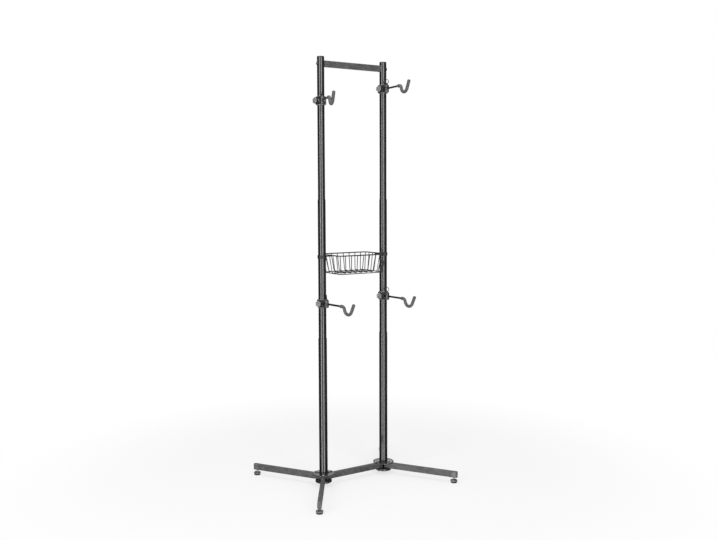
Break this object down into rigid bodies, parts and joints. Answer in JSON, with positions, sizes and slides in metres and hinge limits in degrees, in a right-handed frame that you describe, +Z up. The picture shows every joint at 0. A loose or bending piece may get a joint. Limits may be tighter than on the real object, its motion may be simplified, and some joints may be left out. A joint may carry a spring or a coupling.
{
  "type": "bike storage stand",
  "caption": "Free-standing bike storage stand: twin sectional posts on splayed legs, sliding hinged cradle arms with rubber pads, a top bar and a lift-off wire basket.",
  "frame": {"origin": "on the floor, midway between the two posts", "axes": "+Z up along the posts, +X from the left post to the right post, -Y to the front, where the arms reach"},
  "size_m": [0.8114, 0.686, 2.0987],
  "materials": {
    "base_paint": "satin charcoal paint on steel",
    "post_paint": "gloss black paint on steel tube",
    "rod_paint": "gloss black paint on steel rod",
    "collar_paint": "satin charcoal paint on cast metal",
    "zinc": "bright zinc plate",
    "black_nylon": "moulded black nylon",
    "grey_nylon": "moulded grey nylon",
    "grey_rubber": "soft grey rubber sleeve",
    "basket_wire": "black coated steel wire"
  },
  "bodies": {
    "root": {"bar_bolt_left": "zinc", "bar_bolt_right": "zinc", "base_bar": "base_paint", "basket_hanger_left": "post_paint", "basket_hanger_right": "post_paint", "hub_plate_bottom_left": "base_paint", "hub_plate_bottom_right": "base_paint", "hub_plate_top_left": "base_paint", "hub_plate_top_right": "base_paint", "leg_back_left": "base_paint", "leg_back_right": "base_paint", "leg_cap_back_left": "black_nylon", "leg_cap_back_right": "black_nylon", "leg_cap_front_left": "black_nylon", "leg_cap_front_right": "black_nylon", "leg_front_left": "base_paint", "leg_front_right": "base_paint", "post_cap_left": "black_nylon", "post_cap_right": "black_nylon", "post_lower_left": "post_paint", "post_lower_right": "post_paint", "post_middle_left": "post_paint", "post_middle_right": "post_paint", "post_upper_left": "post_paint", "post_upper_right": "post_paint", "top_bar": "base_paint"},
    "height_upper_left": {"arm_liner_upper_left": "grey_nylon"},
    "collar_upper_left": {"arm_collar_upper_left": "collar_paint"},
    "arm_upper_left": {"arm_rod_upper_left": "rod_paint", "hook_pad_upper_left": "grey_rubber"},
    "knob_upper_left": {"clamp_knob_upper_left": "grey_nylon"},
    "pin_upper_left": {"hinge_pin_upper_left": "zinc"},
    "height_upper_right": {"arm_liner_upper_right": "grey_nylon"},
    "collar_upper_right": {"arm_collar_upper_right": "collar_paint"},
    "arm_upper_right": {"arm_rod_upper_right": "rod_paint", "hook_pad_upper_right": "grey_rubber"},
    "knob_upper_right": {"clamp_knob_upper_right": "grey_nylon"},
    "pin_upper_right": {"hinge_pin_upper_right": "zinc"},
    "height_lower_left": {"arm_liner_lower_left": "grey_nylon"},
    "collar_lower_left": {"arm_collar_lower_left": "collar_paint"},
    "arm_lower_left": {"arm_rod_lower_left": "rod_paint", "hook_pad_lower_left": "grey_rubber"},
    "knob_lower_left": {"clamp_knob_lower_left": "grey_nylon"},
    "pin_lower_left": {"hinge_pin_lower_left": "zinc"},
    "height_lower_right": {"arm_liner_lower_right": "grey_nylon"},
    "collar_lower_right": {"arm_collar_lower_right": "collar_paint"},
    "arm_lower_right": {"arm_rod_lower_right": "rod_paint", "hook_pad_lower_right": "grey_rubber"},
    "knob_lower_right": {"clamp_knob_lower_right": "grey_nylon"},
    "pin_lower_right": {"hinge_pin_lower_right": "zinc"},
    "glide_front_left": {"foot_glide_front_left": "black_nylon"},
    "foot_front_left": {"foot_knob_front_left": "black_nylon"},
    "glide_back_left": {"foot_glide_back_left": "black_nylon"},
    "foot_back_left": {"foot_knob_back_left": "black_nylon"},
    "glide_front_right": {"foot_glide_front_right": "black_nylon"},
    "foot_front_right": {"foot_knob_front_right": "black_nylon"},
    "glide_back_right": {"foot_glide_back_right": "black_nylon"},
    "foot_back_right": {"foot_knob_back_right": "black_nylon"},
    "basket": {"basket": "basket_wire"}
  },
  "joints": [
    {"name": "height_slide_upper_left", "type": "slide", "parent": "root", "child": "height_upper_left", "axis": [0, 0, 1], "range_m": [-0.4483, 0.12]},
    {"name": "collar_turn_upper_left", "type": "hinge", "parent": "height_upper_left", "child": "collar_upper_left", "pos_m": [-0.179, 0, 1.8885], "axis": [0, 0, 1], "range_deg": [-55, 30]},
    {"name": "arm_swing_upper_left", "type": "hinge", "parent": "collar_upper_left", "child": "arm_upper_left", "pos_m": [-0.19224, -0.03637, 1.8885], "axis": [0, 0, 1], "range_deg": [-89, 21]},
    {"name": "knob_turn_upper_left", "type": "hinge", "parent": "collar_upper_left", "child": "knob_upper_left", "pos_m": [-0.20687, -0.00129, 1.8885], "axis": [-0.9989, -0.0461, 0], "range_deg": [0, 720]},
    {"name": "pin_pull_upper_left", "type": "slide", "parent": "collar_upper_left", "child": "pin_upper_left", "axis": [0, 0, 1], "range_m": [0, 0.04]},
    {"name": "height_slide_upper_right", "type": "slide", "parent": "root", "child": "height_upper_right", "axis": [0, 0, 1], "range_m": [-0.5243, 0.04]},
    {"name": "collar_turn_upper_right", "type": "hinge", "parent": "height_upper_right", "child": "collar_upper_right", "pos_m": [0.179, 0, 1.9645], "axis": [0, 0, 1], "range_deg": [-5, 80]},
    {"name": "arm_swing_upper_right", "type": "hinge", "parent": "collar_upper_right", "child": "arm_upper_right", "pos_m": [0.17563, -0.03855, 1.9645], "axis": [0, 0, 1], "range_deg": [-25, 85]},
    {"name": "knob_turn_upper_right", "type": "hinge", "parent": "collar_upper_right", "child": "knob_upper_right", "pos_m": [0.15241, -0.00846, 1.9645], "axis": [-0.953, -0.3031, 0], "range_deg": [0, 720]},
    {"name": "pin_pull_upper_right", "type": "slide", "parent": "collar_upper_right", "child": "pin_upper_right", "axis": [0, 0, 1], "range_m": [0, 0.04]},
    {"name": "height_slide_lower_left", "type": "slide", "parent": "root", "child": "height_lower_left", "axis": [0, 0, 1], "range_m": [-0.15, 0.08]},
    {"name": "collar_turn_lower_left", "type": "hinge", "parent": "height_lower_left", "child": "collar_lower_left", "pos_m": [-0.179, 0, 0.9122], "axis": [0, 0, 1], "range_deg": [-77, 8]},
    {"name": "arm_swing_lower_left", "type": "hinge", "parent": "collar_lower_left", "child": "arm_lower_left", "pos_m": [-0.17765, -0.03868, 0.9122], "axis": [0, 0, 1], "range_deg": [-88.5, 21.5]},
    {"name": "knob_turn_lower_left", "type": "hinge", "parent": "collar_lower_left", "child": "knob_lower_left", "pos_m": [-0.20436, -0.01163, 0.9122], "axis": [-0.9089, -0.417, 0], "range_deg": [0, 720]},
    {"name": "pin_pull_lower_left", "type": "slide", "parent": "collar_lower_left", "child": "pin_lower_left", "axis": [0, 0, 1], "range_m": [0, 0.04]},
    {"name": "height_slide_lower_right", "type": "slide", "parent": "root", "child": "height_lower_right", "axis": [0, 0, 1], "range_m": [-0.1648, 0.08]},
    {"name": "collar_turn_lower_right", "type": "hinge", "parent": "height_lower_right", "child": "collar_lower_right", "pos_m": [0.179, 0, 0.927], "axis": [0, 0, 1], "range_deg": [-7, 78]},
    {"name": "arm_swing_lower_right", "type": "hinge", "parent": "collar_lower_right", "child": "arm_lower_right", "pos_m": [0.17697, -0.03865, 0.927], "axis": [0, 0, 1], "range_deg": [-32, 78]},
    {"name": "knob_turn_lower_right", "type": "hinge", "parent": "collar_lower_right", "child": "knob_lower_right", "pos_m": [0.15272, -0.00938, 0.927], "axis": [-0.9418, -0.3362, 0], "range_deg": [0, 720]},
    {"name": "pin_pull_lower_right", "type": "slide", "parent": "collar_lower_right", "child": "pin_lower_right", "axis": [0, 0, 1], "range_m": [0, 0.04]},
    {"name": "foot_raise_front_left", "type": "slide", "parent": "root", "child": "glide_front_left", "axis": [0, 0, -1], "range_m": [-0.005, 0.0075]},
    {"name": "foot_turn_front_left", "type": "hinge", "parent": "glide_front_left", "child": "foot_front_left", "pos_m": [-0.38726, -0.3244, 0.01], "axis": [0, 0, -1], "range_deg": [-1440, 2160]},
    {"name": "foot_raise_back_left", "type": "slide", "parent": "root", "child": "glide_back_left", "axis": [0, 0, -1], "range_m": [-0.005, 0.0075]},
    {"name": "foot_turn_back_left", "type": "hinge", "parent": "glide_back_left", "child": "foot_back_left", "pos_m": [-0.38726, 0.3244, 0.01], "axis": [0, 0, -1], "range_deg": [-1440, 2160]},
    {"name": "foot_raise_front_right", "type": "slide", "parent": "root", "child": "glide_front_right", "axis": [0, 0, -1], "range_m": [-0.005, 0.0075]},
    {"name": "foot_turn_front_right", "type": "hinge", "parent": "glide_front_right", "child": "foot_front_right", "pos_m": [0.38726, -0.3244, 0.01], "axis": [0, 0, -1], "range_deg": [-1440, 2160]},
    {"name": "foot_raise_back_right", "type": "slide", "parent": "root", "child": "glide_back_right", "axis": [0, 0, -1], "range_m": [-0.005, 0.0075]},
    {"name": "foot_turn_back_right", "type": "hinge", "parent": "glide_back_right", "child": "foot_back_right", "pos_m": [0.38726, 0.3244, 0.01], "axis": [0, 0, -1], "range_deg": [-1440, 2160]},
    {"name": "basket_lift", "type": "slide", "parent": "root", "child": "basket", "axis": [0, 0, 1], "range_m": [0, 0.06]}
  ],
  "couplings": [
    {"joint": "foot_turn_front_left", "follows": "foot_raise_front_left", "rad_per_m": 5026.5},
    {"joint": "foot_turn_back_left", "follows": "foot_raise_back_left", "rad_per_m": 5026.5},
    {"joint": "foot_turn_front_right", "follows": "foot_raise_front_right", "rad_per_m": 5026.5},
    {"joint": "foot_turn_back_right", "follows": "foot_raise_back_right", "rad_per_m": 5026.5}
  ]
}
